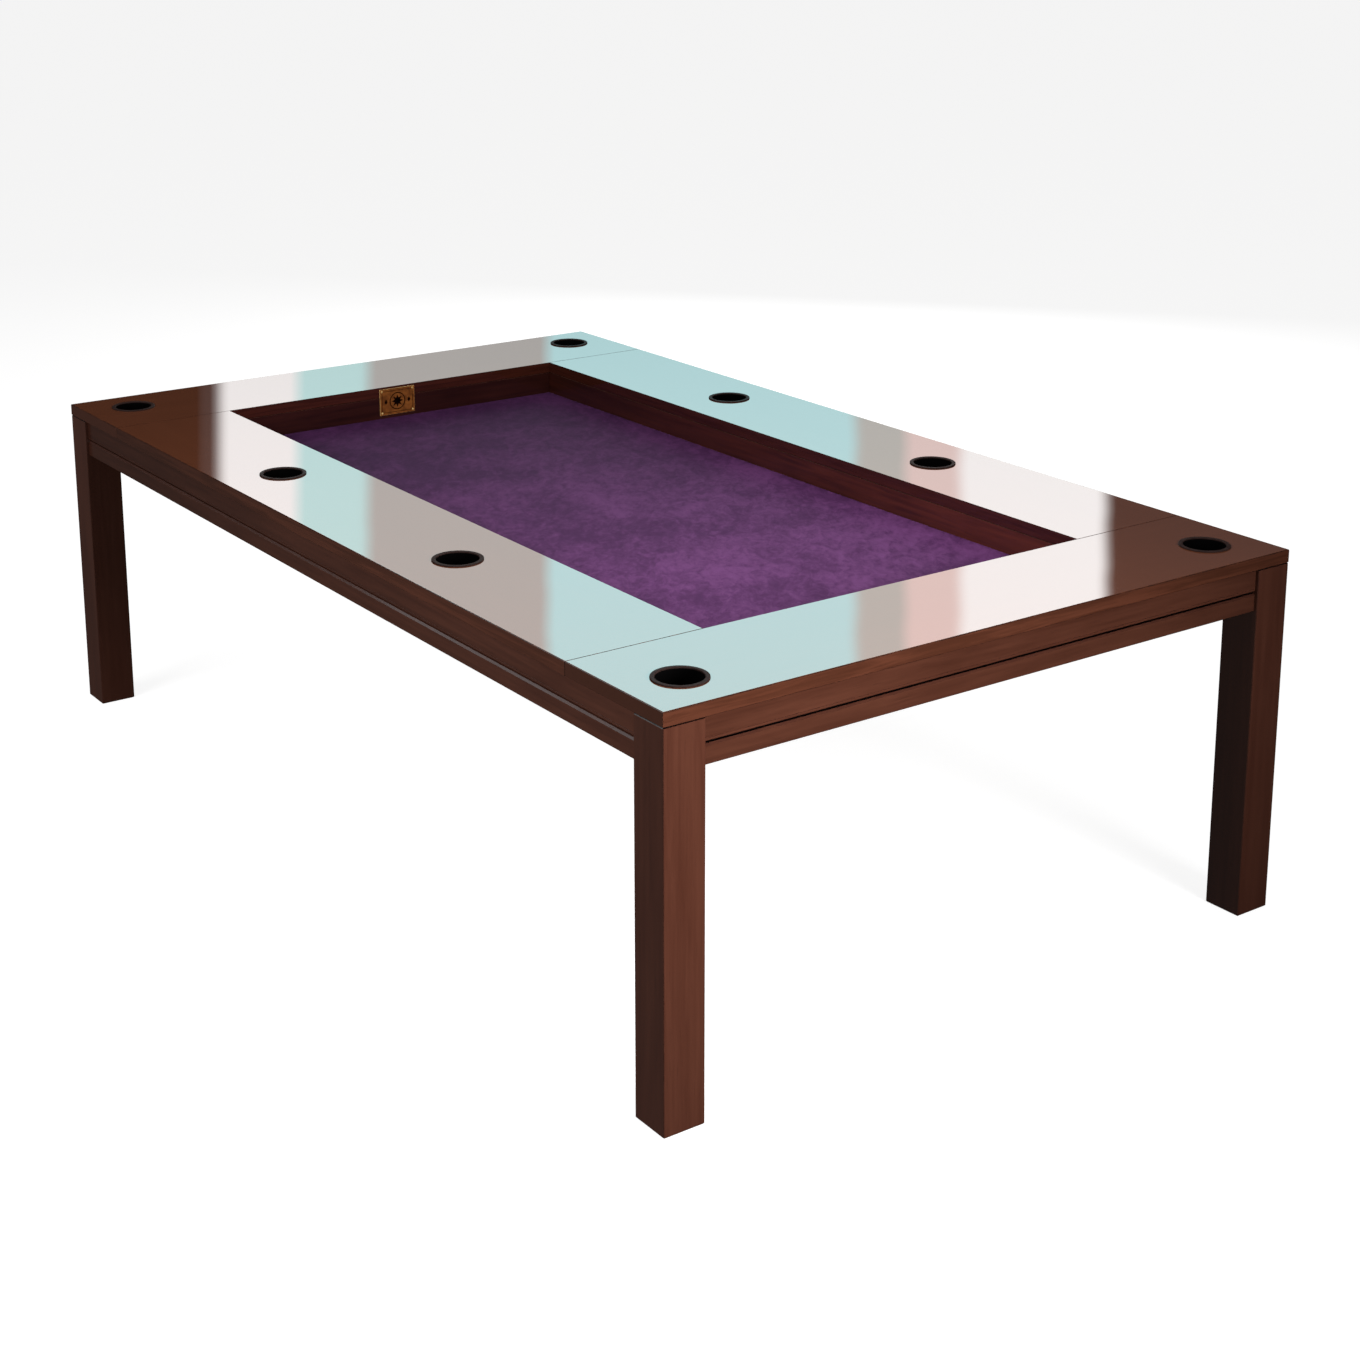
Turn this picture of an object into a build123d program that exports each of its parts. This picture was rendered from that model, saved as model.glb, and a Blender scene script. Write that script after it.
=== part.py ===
from build123d import *

import os
from math import sqrt

# A gaming table: a wide border of four boards round a sunken, cloth-lined playing area, on four
# legs, with eight drop-in cup inserts. Millimetres. The origin is on the floor at the table's centre,
# +X runs along the length and +Z up. Front is the -Y side, left is the -X end.

# ---- driving dimensions ----
LENGTH = 2540.0
WIDTH = 1500.0
HEIGHT = 760.0  # floor to the border's top face
BORDER = 290.0  # width of each border board
BOARD_T = 27.0
VAULT_DEPTH = 80.0  # border's top face to the cloth
LEG = 85.0

# ---- border boards ----
BOARD_ARRIS = 2.5  # rounded outer top edge
JOINT_ARRIS = 1.2  # eased top edge along the joints and the vault
BOARD_UNDER_CHAMFER = 1.2
CUP_CORNER_INSET = 115.0  # corner cup's axis from both outer edges
CUP_SIDE_X = 380.0  # side cup's axis from the table's middle
CUP_SIDE_INSET = 140.0  # side cup's axis from the outer edge

# ---- legs ----
LEG_EDGE = 2.2
LEG_END_CHAMFER = 2.0
LEG_CUT = 25.0  # inner corner cut off where the bracket draws the leg in
LEG_CUT_HEIGHT = 95.0

# ---- apron: two bands with a shadow groove between them ----
APRON_HEIGHT = 87.0
UPPER_APRON_HEIGHT = 46.0
APRON_RECESS = 8.0  # face of both bands from the outer edge
APRON_BACK = 30.0  # inner face of both bands from the outer edge
GROOVE_HEIGHT = 4.5
GROOVE_DEPTH = 8.0
SHOULDER_BEVEL = 3.6  # lower band's top outer edge
APRON_EDGE = 1.5
BEAD_HEIGHT = 5.0  # flat bead along the upper band's lower edge
QUIRK = 1.2  # V cut above the bead, its height
QUIRK_DEPTH = 0.9

# ---- vault ----
WALL_T = 18.0
WALL_EASE = 0.8
CLOTH_T = 1.0
FOAM_T = 3.0
PANEL_T = 10.0
CLOTH_GAP = 1.0  # between the layers' edges and the walls
LEDGER_W = 18.0
LEDGER_SCREW_X = (245.0, 735.0)  # screws along the long ledgers, from the middle
LEDGER_SCREW_Y = 220.0
BEARER_W = 60.0
BEARER_X = 490.0
BEARER_SCREW_Y = 300.0

# ---- ribs that carry the border between the apron and the vault walls ----
RIB_W = 60.0
RIB_H = 30.0
RIB_SCREW_INSET = 45.0  # from a rib's ends
SCREW_PAIR = 18.0  # a screw each side of a joint line, from the line

# ---- cup inserts ----
CUP_R = 43.8
CUP_BORE_R = 42.6
CUP_FLANGE_R = 51.0
CUP_FLANGE_T = 2.4
CUP_DEPTH = 58.0
CUP_BASE_T = 1.6
CUP_LIP = 1.0
CUP_BASE_ROUND = 4.0
CUP_HOLE_R = 45.5

# ---- plaque on the left vault wall ----
PLAQUE_W = 100.0
PLAQUE_H = 68.0
PLAQUE_T = 1.6
PLAQUE_DROP = 5.0  # plaque's top edge below the border's top face
PLAQUE_SCREW_INSET = 6.0
PLAQUE_BEVEL = 0.6
PLAQUE_CORNER = 1.0
PLAQUE_HEAD_R = 2.6
PLAQUE_HEAD_T = 1.4
PLAQUE_HEAD_ROUND = 0.9
PLAQUE_SLOT_W = 0.6
PLAQUE_SLOT_DEPTH = 0.5
PLAQUE_SCREW_R = 1.3
PLAQUE_SCREW_LENGTH = 12.6
PLAQUE_PILOT = 13.0

# ---- steel corner brackets and the legs' hanger bolts ----
BRACKET_T = 3.0
BRACKET_Z = (648.5, 686.5)
BRACKET_REACH = 158.0  # flange end from the outer corner
BRACKET_CORNER = 126.0  # where the diagonal plate meets the apron
BRACKET_SCREW_AT = 146.0
BOLT_Z = (658.0, 677.0)
BOLT_R = 4.0
BOLT_IN_LEG = 50.0
BOLT_PAST_NUT = 4.0
WASHER_R = 9.0
WASHER_T = 1.6
NUT_R = 7.5
NUT_T = 6.5
BOLT_CLEARANCE = 0.1

# ---- wood screws and dowels ----
SCREW_R = 2.0
SCREW_CLEARANCE = 0.1
SCREW_TIP = 4.0
TIP_TAPER = 22.0
HEAD_R = 4.0
HEAD_T = 2.0
COUNTERSUNK = 45.0  # taper of a countersunk head
PAN_HEAD = 0.0
RECESS_L = 4.0  # cross recess in a screw's head
RECESS_W = 0.9
RECESS_DEPTH = 1.2
RIB_SCREW_LENGTH = 45.0
BORDER_PILOT = 16.0
BEARER_SCREW_LENGTH = 24.0
PANEL_PILOT = 5.0
BRACKET_SCREW_LENGTH = 14.0
DOWEL_R = 5.0
DOWEL_LENGTH = 40.0
DOWEL_CLEARANCE = 0.1
DOWEL_INSETS = (40.0, 110.0, 190.0, 255.0)  # from the outer edge

# ---- working allowances ----
HOLE_CLEARANCE = 0.3  # round a fastener through sheet metal
EDGE_TOLERANCE = 0.1  # for telling an outer edge from an inner one
CUT_MARGIN = 1.0  # a cutting outline's reach past the face it cuts
THROUGH = 10.0  # length of a cutter that goes right through a thin plate

# ---- places worked out from the sizes above ----
HALF_L = LENGTH / 2
HALF_W = WIDTH / 2
VAULT_X = HALF_L - BORDER  # vault's inner faces
VAULT_Y = HALF_W - BORDER
BOARD_Z = HEIGHT - BOARD_T
FRAME_Z = BOARD_Z - APRON_HEIGHT  # underside of the apron, walls and bearers
UPPER_APRON_Z = BOARD_Z - UPPER_APRON_HEIGHT
CLOTH_Z = HEIGHT - VAULT_DEPTH
PANEL_Z = CLOTH_Z - CLOTH_T - FOAM_T - PANEL_T
APRON_IN_X = HALF_L - APRON_BACK
APRON_IN_Y = HALF_W - APRON_BACK
WALL_OUT_X = VAULT_X + WALL_T
WALL_OUT_Y = VAULT_Y + WALL_T
RIB_Z = BOARD_Z - RIB_H
LEG_CUT_LINE = 2 * LEG - LEG_CUT
BRACKET_LINE = BRACKET_CORNER + APRON_BACK
CORNERS = {"front_left": (-1, -1), "front_right": (1, -1), "back_left": (-1, 1), "back_right": (1, 1)}

os.makedirs("parts", exist_ok=True)


def save(piece, label):
    """Labels a finished piece and writes its STEP file."""
    piece.part.label = label
    export_step(piece.part, f"parts/{label}.step")


def span(low, high):
    """Centre and size of a stretch."""
    return (low + high) / 2, high - low


def corner_cups(sx):
    """Axes of the two corner cups in one end board."""
    x = sx * (HALF_L - CUP_CORNER_INSET)
    y = HALF_W - CUP_CORNER_INSET
    return [(x, -y), (x, y)]


def side_cups(sy):
    """Axes of the two cups in one side board."""
    y = sy * (HALF_W - CUP_SIDE_INSET)
    return [(-CUP_SIDE_X, y), (CUP_SIDE_X, y)]


def dowel_axes():
    """Centres of the dowels in the four joints, halfway up the boards."""
    z = BOARD_Z + BOARD_T / 2
    return [
        (sx * VAULT_X, sy * (HALF_W - inset), z)
        for sx in (-1, 1)
        for sy in (-1, 1)
        for inset in DOWEL_INSETS
    ]


def rib_screw_points():
    """Axes of the screws that come up through the ribs into the boards."""
    inset = (APRON_BACK + RIB_SCREW_INSET, BORDER - WALL_T - RIB_SCREW_INSET)
    points = [
        (sx * VAULT_X + side * SCREW_PAIR, sy * (HALF_W - depth))
        for sx in (-1, 1)
        for sy in (-1, 1)
        for side in (-1, 1)
        for depth in inset
    ]
    points += [(0, sy * (HALF_W - depth)) for sy in (-1, 1) for depth in inset]
    points += [(sx * (HALF_L - depth), 0) for sx in (-1, 1) for depth in inset]
    return points


def plaque_screw_points():
    """Centres of the plaque's screws on the left end of the vault, as Y and Z."""
    y = PLAQUE_W / 2 - PLAQUE_SCREW_INSET
    top = HEIGHT - PLAQUE_DROP
    low, high = top - PLAQUE_H + PLAQUE_SCREW_INSET, top - PLAQUE_SCREW_INSET
    return [(sy * y, z) for sy in (-1, 1) for z in (low, high)]


def cut_plaque_holes(low, high):
    """Cuts the plaque screws' pilot holes that lie between two heights."""
    for y, z in plaque_screw_points():
        if low < z < high:
            with Locations(Plane(origin=(-VAULT_X, y, z), z_dir=(-1, 0, 0))):
                Cylinder(
                    PLAQUE_SCREW_R + SCREW_CLEARANCE,
                    PLAQUE_PILOT,
                    align=(Align.CENTER, Align.CENTER, Align.MIN),
                    mode=Mode.SUBTRACT,
                )


def within(points, x, y):
    """The points that lie inside a rectangle."""
    return [p for p in points if x[0] < p[0] < x[1] and y[0] < p[1] < y[1]]


# ---- border: two end boards run the full width, two side boards butt between them ----


def on_outside(point, slack=0.0):
    """True on the table's outer edges."""
    slack += EDGE_TOLERANCE
    return abs(point.X) > HALF_L - slack or abs(point.Y) > HALF_W - slack


def border_board(x, y, cups, label):
    """One border board with its cup holes, dowel holes and blind screw holes."""
    (cx, sx), (cy, sy) = span(*x), span(*y)
    dowels = [d for d in dowel_axes() if x[0] <= d[0] <= x[1] and y[0] <= d[1] <= y[1]]
    screws = within(rib_screw_points(), x, y)
    with BuildPart() as board:
        with BuildSketch(Plane.XY.offset(BOARD_Z)):
            with Locations((cx, cy)):
                Rectangle(sx, sy)
        extrude(amount=BOARD_T)
        top = board.faces().sort_by(Axis.Z)[-1].edges()
        outer = [e for e in top if on_outside(e.center())]
        fillet(outer, BOARD_ARRIS)
        top = board.faces().filter_by(Plane.XY).sort_by(Axis.Z)[-1].edges()
        inner = [e for e in top if not on_outside(e.center(), BOARD_ARRIS)]
        chamfer(inner, JOINT_ARRIS)
        chamfer(board.faces().sort_by(Axis.Z)[0].edges(), BOARD_UNDER_CHAMFER)
        with Locations([(px, py, HEIGHT) for px, py in cups]):
            Hole(CUP_HOLE_R)
        for px, py, pz in dowels:
            with Locations(Plane(origin=(px, py, pz), z_dir=(1, 0, 0))):
                Cylinder(DOWEL_R + DOWEL_CLEARANCE, DOWEL_LENGTH + 2 * DOWEL_CLEARANCE, mode=Mode.SUBTRACT)
        with BuildSketch(Plane.XY.offset(BOARD_Z)):
            with Locations(screws):
                Circle(SCREW_R + SCREW_CLEARANCE)
        extrude(amount=BORDER_PILOT, mode=Mode.SUBTRACT)
        if x[0] == -HALF_L:
            cut_plaque_holes(BOARD_Z, HEIGHT)
    save(board, label)


for side, sx in (("left", -1), ("right", 1)):
    ends = sorted((sx * VAULT_X, sx * HALF_L))
    border_board(ends, (-HALF_W, HALF_W), corner_cups(sx), f"top_end_board_{side}")

for side, sy in (("front", -1), ("back", 1)):
    ends = sorted((sy * VAULT_Y, sy * HALF_W))
    border_board((-VAULT_X, VAULT_X), ends, side_cups(sy), f"top_side_board_{side}")


# ---- legs: square posts, flush with the border's corners ----


def corner_point(corner, u, v):
    """A plan point u and v in from the outer corner, along X and along Y."""
    sx, sy = corner
    return (sx * (HALF_L - u), sy * (HALF_W - v))


def bolt_plane(corner, depth, z):
    """A plane on a hanger bolt's axis, depth in from the outer corner, facing the corner."""
    sx, sy = corner
    u = depth / sqrt(2)
    x, y = corner_point(corner, u, u)
    return Plane(origin=(x, y, z), z_dir=(sx, sy, 0))


LEG_FACE_DEPTH = LEG_CUT_LINE / sqrt(2)  # cut face's depth along the diagonal
BRACKET_DEPTH = BRACKET_LINE / sqrt(2)
WASHER_DEPTH = BRACKET_DEPTH + BRACKET_T
NUT_DEPTH = WASHER_DEPTH + WASHER_T
BOLT_START = LEG_FACE_DEPTH - BOLT_IN_LEG
BOLT_END = NUT_DEPTH + NUT_T + BOLT_PAST_NUT

for name, corner in CORNERS.items():
    cx, cy = corner_point(corner, LEG / 2, LEG / 2)
    cut_far = LEG + CUT_MARGIN
    with BuildPart() as leg:
        with BuildSketch():
            with Locations((cx, cy)):
                Rectangle(LEG, LEG)
        extrude(amount=BOARD_Z)
        fillet(leg.edges().filter_by(Axis.Z), LEG_EDGE)
        chamfer(leg.faces().sort_by(Axis.Z)[-1].edges(), LEG_END_CHAMFER)
        chamfer(leg.faces().sort_by(Axis.Z)[0].edges(), LEG_END_CHAMFER)
        with BuildSketch(Plane.XY.offset(BOARD_Z - LEG_CUT_HEIGHT)):
            with BuildLine():
                Polyline(
                    corner_point(corner, cut_far, LEG_CUT_LINE - cut_far),
                    corner_point(corner, LEG_CUT_LINE - cut_far, cut_far),
                    corner_point(corner, cut_far, cut_far),
                    close=True,
                )
            make_face()
        extrude(amount=LEG_CUT_HEIGHT, mode=Mode.SUBTRACT)
        for z in BOLT_Z:
            hole_length = LEG_FACE_DEPTH - BOLT_START + 2 * BOLT_CLEARANCE
            with Locations(bolt_plane(corner, BOLT_START - BOLT_CLEARANCE + hole_length / 2, z)):
                Cylinder(BOLT_R + BOLT_CLEARANCE, hole_length, mode=Mode.SUBTRACT)
    save(leg, f"leg_{name}")


# ---- apron: an upper band under the border, and a lower band with a bevelled shoulder ----


def upper_apron_profile():
    """Section of the upper band: distance in from the outer edge, and height."""
    face, back, low = APRON_RECESS, APRON_BACK, UPPER_APRON_Z
    bead = low + BEAD_HEIGHT
    with BuildLine() as line:
        Polyline(
            (face, low + APRON_EDGE),
            (face, bead),
            (face + QUIRK_DEPTH, bead + QUIRK / 2),
            (face, bead + QUIRK),
            (face, BOARD_Z),
            (back, BOARD_Z),
            (back, low),
            (face + APRON_EDGE, low),
            close=True,
        )
    return line


def lower_apron_profile():
    """Section of the lower band: bevelled shoulder, then the tongue that leaves the shadow groove."""
    face, back, low = APRON_RECESS, APRON_BACK, FRAME_Z
    shoulder = UPPER_APRON_Z - GROOVE_HEIGHT
    tongue = face + GROOVE_DEPTH
    with BuildLine() as line:
        Polyline(
            (face, shoulder - SHOULDER_BEVEL),
            (face + SHOULDER_BEVEL, shoulder),
            (tongue, shoulder),
            (tongue, UPPER_APRON_Z),
            (back, UPPER_APRON_Z),
            (back, low),
            (face + APRON_EDGE, low),
            (face, low + APRON_EDGE),
            close=True,
        )
    return line


def bracket_screw_holes(corners, along):
    """Cuts the pilot holes for the bracket screws into an apron board's inner face."""
    for corner in corners:
        for z in BOLT_Z:
            with Locations(bracket_screw_plane(corner, along, APRON_BACK, z)):
                Cylinder(
                    SCREW_R + SCREW_CLEARANCE,
                    BRACKET_SCREW_LENGTH,
                    align=(Align.CENTER, Align.CENTER, Align.MIN),
                    mode=Mode.SUBTRACT,
                )


def bracket_screw_plane(corner, along, depth, z):
    """A plane on a bracket screw's axis, facing out of the table through the apron."""
    sx, sy = corner
    if along == "x":
        x, y = corner_point(corner, BRACKET_SCREW_AT, depth)
        return Plane(origin=(x, y, z), z_dir=(0, sy, 0))
    x, y = corner_point(corner, depth, BRACKET_SCREW_AT)
    return Plane(origin=(x, y, z), z_dir=(sx, 0, 0))


def apron_board(profile, start_plane, length, corners, along, label):
    """One apron board: the section swept straight between two legs."""
    with BuildPart() as board:
        with BuildSketch(start_plane):
            add(profile().line)
            make_face()
        extrude(amount=length)
        if corners:
            bracket_screw_holes(corners, along)
    save(board, label)


APRON_SIDES = {
    # the section's plane, at one leg's inner face: its x runs in from the outer edge and its y up
    "front": (Plane(origin=(-HALF_L + LEG, -HALF_W, 0), x_dir=(0, 1, 0), z_dir=(1, 0, 0)), "x"),
    "back": (Plane(origin=(HALF_L - LEG, HALF_W, 0), x_dir=(0, -1, 0), z_dir=(-1, 0, 0)), "x"),
    "left": (Plane(origin=(-HALF_L, HALF_W - LEG, 0), x_dir=(1, 0, 0), z_dir=(0, -1, 0)), "y"),
    "right": (Plane(origin=(HALF_L, -HALF_W + LEG, 0), x_dir=(-1, 0, 0), z_dir=(0, 1, 0)), "y"),
}

for side, (plane, along) in APRON_SIDES.items():
    run = (LENGTH if along == "x" else WIDTH) - 2 * LEG
    near = [corner for name, corner in CORNERS.items() if side in name]
    apron_board(upper_apron_profile, plane, run, [], along, f"upper_apron_{side}")
    apron_board(lower_apron_profile, plane, run, near, along, f"lower_apron_{side}")


# ---- vault: walls, floor panel on ledgers and bearers, foam and cloth ----


def vault_wall(x, y, label):
    """One vault wall. Its inner top edge and its inner upright edges are eased."""
    (cx, sx), (cy, sy) = span(*x), span(*y)
    with BuildPart() as wall:
        with BuildSketch(Plane.XY.offset(FRAME_Z)):
            with Locations((cx, cy)):
                Rectangle(sx, sy)
        extrude(amount=APRON_HEIGHT)
        inner_face = wall.faces().sort_by_distance((0, 0, FRAME_Z + APRON_HEIGHT / 2))[0]
        chamfer(inner_face.edges().sort_by(Axis.Z)[1:], WALL_EASE)
        if x[0] == -WALL_OUT_X:
            cut_plaque_holes(FRAME_Z, BOARD_Z)
    save(wall, label)


for side, sy in (("front", -1), ("back", 1)):
    wall_y = sorted((sy * VAULT_Y, sy * WALL_OUT_Y))
    vault_wall((-APRON_IN_X, APRON_IN_X), wall_y, f"vault_wall_{side}")

for side, sx in (("left", -1), ("right", 1)):
    wall_x = sorted((sx * VAULT_X, sx * WALL_OUT_X))
    vault_wall(wall_x, (-VAULT_Y, VAULT_Y), f"vault_wall_{side}")

LAYER_X = VAULT_X - CLOTH_GAP
LAYER_Y = VAULT_Y - CLOTH_GAP
LAYERS = (
    ("play_surface_foam", PANEL_Z + PANEL_T, FOAM_T),
    ("play_surface_cloth", CLOTH_Z - CLOTH_T, CLOTH_T),
)

for label, low, thickness in LAYERS:
    with BuildPart() as layer:
        with BuildSketch(Plane.XY.offset(low)):
            Rectangle(2 * LAYER_X, 2 * LAYER_Y)
        extrude(amount=thickness)
    save(layer, label)

LEDGER_IN_X = VAULT_X - LEDGER_W
LEDGER_IN_Y = VAULT_Y - LEDGER_W


def bearer_screw_points():
    """Axes of the screws that come up through ledgers and bearers into the floor panel."""
    ledger_y = VAULT_Y - LEDGER_W / 2
    ledger_x = VAULT_X - LEDGER_W / 2
    points = [(sx * x, sy * ledger_y) for sx in (-1, 1) for sy in (-1, 1) for x in LEDGER_SCREW_X]
    points += [(sx * ledger_x, sy * LEDGER_SCREW_Y) for sx in (-1, 1) for sy in (-1, 1)]
    points += [(side * BEARER_X, row * BEARER_SCREW_Y) for side in (-1, 0, 1) for row in (-1, 0, 1)]
    return points


with BuildPart() as panel:
    with BuildSketch(Plane.XY.offset(PANEL_Z)):
        Rectangle(2 * LAYER_X, 2 * LAYER_Y)
    extrude(amount=PANEL_T)
    with BuildSketch(Plane.XY.offset(PANEL_Z)):
        with Locations(bearer_screw_points()):
            Circle(SCREW_R + SCREW_CLEARANCE)
    extrude(amount=PANEL_PILOT, mode=Mode.SUBTRACT)
save(panel, "vault_floor_panel")


def batten(x, y, z, points, label):
    """A batten with screw holes straight up through it, countersunk underneath."""
    (cx, sx), (cy, sy), (_, sz) = span(*x), span(*y), span(*z)
    with BuildPart() as piece:
        with BuildSketch(Plane.XY.offset(z[0])):
            with Locations((cx, cy)):
                Rectangle(sx, sy)
        extrude(amount=sz)
        with BuildSketch(Plane.XY.offset(z[0])):
            with Locations(within(points, x, y)):
                Circle(SCREW_R + SCREW_CLEARANCE)
        extrude(amount=sz, mode=Mode.SUBTRACT)
        with BuildSketch(Plane.XY.offset(z[0])):
            with Locations(within(points, x, y)):
                Circle(HEAD_R + SCREW_CLEARANCE)
        extrude(amount=HEAD_T, taper=COUNTERSUNK, mode=Mode.SUBTRACT)
    save(piece, label)


for side, sy in (("front", -1), ("back", 1)):
    width = sorted((sy * LEDGER_IN_Y, sy * VAULT_Y))
    batten((-VAULT_X, VAULT_X), width, (FRAME_Z, PANEL_Z), bearer_screw_points(), f"ledger_{side}")

for side, sx in (("left", -1), ("right", 1)):
    width = sorted((sx * LEDGER_IN_X, sx * VAULT_X))
    batten(width, (-LEDGER_IN_Y, LEDGER_IN_Y), (FRAME_Z, PANEL_Z), bearer_screw_points(), f"ledger_{side}")

for place, x in (("left", -BEARER_X), ("centre", 0.0), ("right", BEARER_X)):
    width = (x - BEARER_W / 2, x + BEARER_W / 2)
    batten(
        width,
        (-LEDGER_IN_Y, LEDGER_IN_Y),
        (FRAME_Z, PANEL_Z),
        bearer_screw_points(),
        f"cross_bearer_{place}",
    )


# ---- ribs under the border: at the four joint lines and halfway along each side ----

for side, sy in (("front", -1), ("back", 1)):
    width = sorted((sy * WALL_OUT_Y, sy * APRON_IN_Y))
    for place, x in (("left", -VAULT_X), ("centre", 0.0), ("right", VAULT_X)):
        batten(
            (x - RIB_W / 2, x + RIB_W / 2),
            width,
            (RIB_Z, BOARD_Z),
            rib_screw_points(),
            f"rib_{side}_{place}",
        )

for side, sx in (("left", -1), ("right", 1)):
    width = sorted((sx * WALL_OUT_X, sx * APRON_IN_X))
    batten(width, (-RIB_W / 2, RIB_W / 2), (RIB_Z, BOARD_Z), rib_screw_points(), f"rib_end_{side}")


# ---- steel corner brackets with hanger bolts, washers and nuts ----

for name, corner in CORNERS.items():
    thick = BRACKET_T * sqrt(2)
    fold = BRACKET_CORNER + thick - BRACKET_T
    with BuildPart() as bracket:
        with BuildSketch(Plane.XY.offset(BRACKET_Z[0])):
            with BuildLine():
                Polyline(
                    corner_point(corner, BRACKET_REACH, APRON_BACK),
                    corner_point(corner, BRACKET_CORNER, APRON_BACK),
                    corner_point(corner, APRON_BACK, BRACKET_CORNER),
                    corner_point(corner, APRON_BACK, BRACKET_REACH),
                    corner_point(corner, APRON_BACK + BRACKET_T, BRACKET_REACH),
                    corner_point(corner, APRON_BACK + BRACKET_T, fold),
                    corner_point(corner, fold, APRON_BACK + BRACKET_T),
                    corner_point(corner, BRACKET_REACH, APRON_BACK + BRACKET_T),
                    close=True,
                )
            make_face()
        extrude(amount=BRACKET_Z[1] - BRACKET_Z[0])
        for z in BOLT_Z:
            with Locations(bolt_plane(corner, BRACKET_DEPTH + BRACKET_T / 2, z)):
                Cylinder(BOLT_R + HOLE_CLEARANCE, THROUGH, mode=Mode.SUBTRACT)
            for along in ("x", "y"):
                with Locations(bracket_screw_plane(corner, along, APRON_BACK + BRACKET_T / 2, z)):
                    Cylinder(SCREW_R + HOLE_CLEARANCE, THROUGH, mode=Mode.SUBTRACT)
    save(bracket, f"corner_bracket_{name}")

with BuildPart() as bolts:
    for corner in CORNERS.values():
        for z in BOLT_Z:
            with Locations(bolt_plane(corner, (BOLT_START + BOLT_END) / 2, z)):
                Cylinder(BOLT_R, BOLT_END - BOLT_START)
save(bolts, "hanger_bolts")

with BuildPart() as washers:
    for corner in CORNERS.values():
        for z in BOLT_Z:
            with BuildSketch(bolt_plane(corner, NUT_DEPTH, z)):
                Circle(WASHER_R)
                Circle(BOLT_R + HOLE_CLEARANCE, mode=Mode.SUBTRACT)
            extrude(amount=WASHER_T)
save(washers, "hanger_washers")

with BuildPart() as nuts:
    for corner in CORNERS.values():
        for z in BOLT_Z:
            with BuildSketch(bolt_plane(corner, NUT_DEPTH + NUT_T, z)):
                RegularPolygon(NUT_R, 6)
                Circle(BOLT_R + BOLT_CLEARANCE, mode=Mode.SUBTRACT)
            extrude(amount=NUT_T)
save(nuts, "hanger_nuts")


# ---- screws and dowels ----


def wood_screws(planes, length, head_taper, label):
    """Wood screws whose heads start on the given planes, with their shanks along the planes' normals."""
    with BuildPart() as screw:
        with BuildSketch():
            Circle(HEAD_R)
        extrude(amount=HEAD_T, taper=head_taper)
        with BuildSketch(Plane.XY.offset(HEAD_T)):
            Circle(SCREW_R)
        extrude(amount=length - HEAD_T - SCREW_TIP)
        with BuildSketch(Plane.XY.offset(length - SCREW_TIP)):
            Circle(SCREW_R)
        extrude(amount=SCREW_TIP, taper=TIP_TAPER)
        with BuildSketch():
            Rectangle(RECESS_L, RECESS_W)
            Rectangle(RECESS_W, RECESS_L)
        extrude(amount=RECESS_DEPTH, mode=Mode.SUBTRACT)
    with BuildPart() as screws:
        with Locations(planes):
            add(screw.part)
    save(screws, label)


wood_screws(
    [Plane(origin=(x, y, RIB_Z), z_dir=(0, 0, 1)) for x, y in rib_screw_points()],
    RIB_SCREW_LENGTH,
    COUNTERSUNK,
    "border_screws",
)
wood_screws(
    [Plane(origin=(x, y, FRAME_Z), z_dir=(0, 0, 1)) for x, y in bearer_screw_points()],
    BEARER_SCREW_LENGTH,
    COUNTERSUNK,
    "bearer_screws",
)
wood_screws(
    [
        bracket_screw_plane(corner, along, APRON_BACK + BRACKET_T + HEAD_T, z)
        for corner in CORNERS.values()
        for along in ("x", "y")
        for z in BOLT_Z
    ],
    BRACKET_SCREW_LENGTH,
    PAN_HEAD,
    "bracket_screws",
)

with BuildPart() as dowels:
    for x, y, z in dowel_axes():
        with Locations(Plane(origin=(x, y, z), z_dir=(1, 0, 0))):
            Cylinder(DOWEL_R, DOWEL_LENGTH)
save(dowels, "board_dowels")


# ---- plaque: a brass plate across the left board's edge and the wall below it ----

PLAQUE_Z = HEIGHT - PLAQUE_DROP - PLAQUE_H / 2

with BuildPart() as plaque:
    with BuildSketch(Plane(origin=(-VAULT_X, 0, PLAQUE_Z), x_dir=(0, 1, 0), z_dir=(1, 0, 0))):
        RectangleRounded(PLAQUE_W, PLAQUE_H, PLAQUE_CORNER)
    extrude(amount=PLAQUE_T)
    chamfer(plaque.faces().sort_by(Axis.X)[-1].outer_wire().edges(), PLAQUE_BEVEL)
    for y, z in plaque_screw_points():
        with Locations(Plane(origin=(-VAULT_X, y, z), z_dir=(1, 0, 0))):
            Cylinder(PLAQUE_SCREW_R + SCREW_CLEARANCE, THROUGH, mode=Mode.SUBTRACT)
save(plaque, "plaque")

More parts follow.
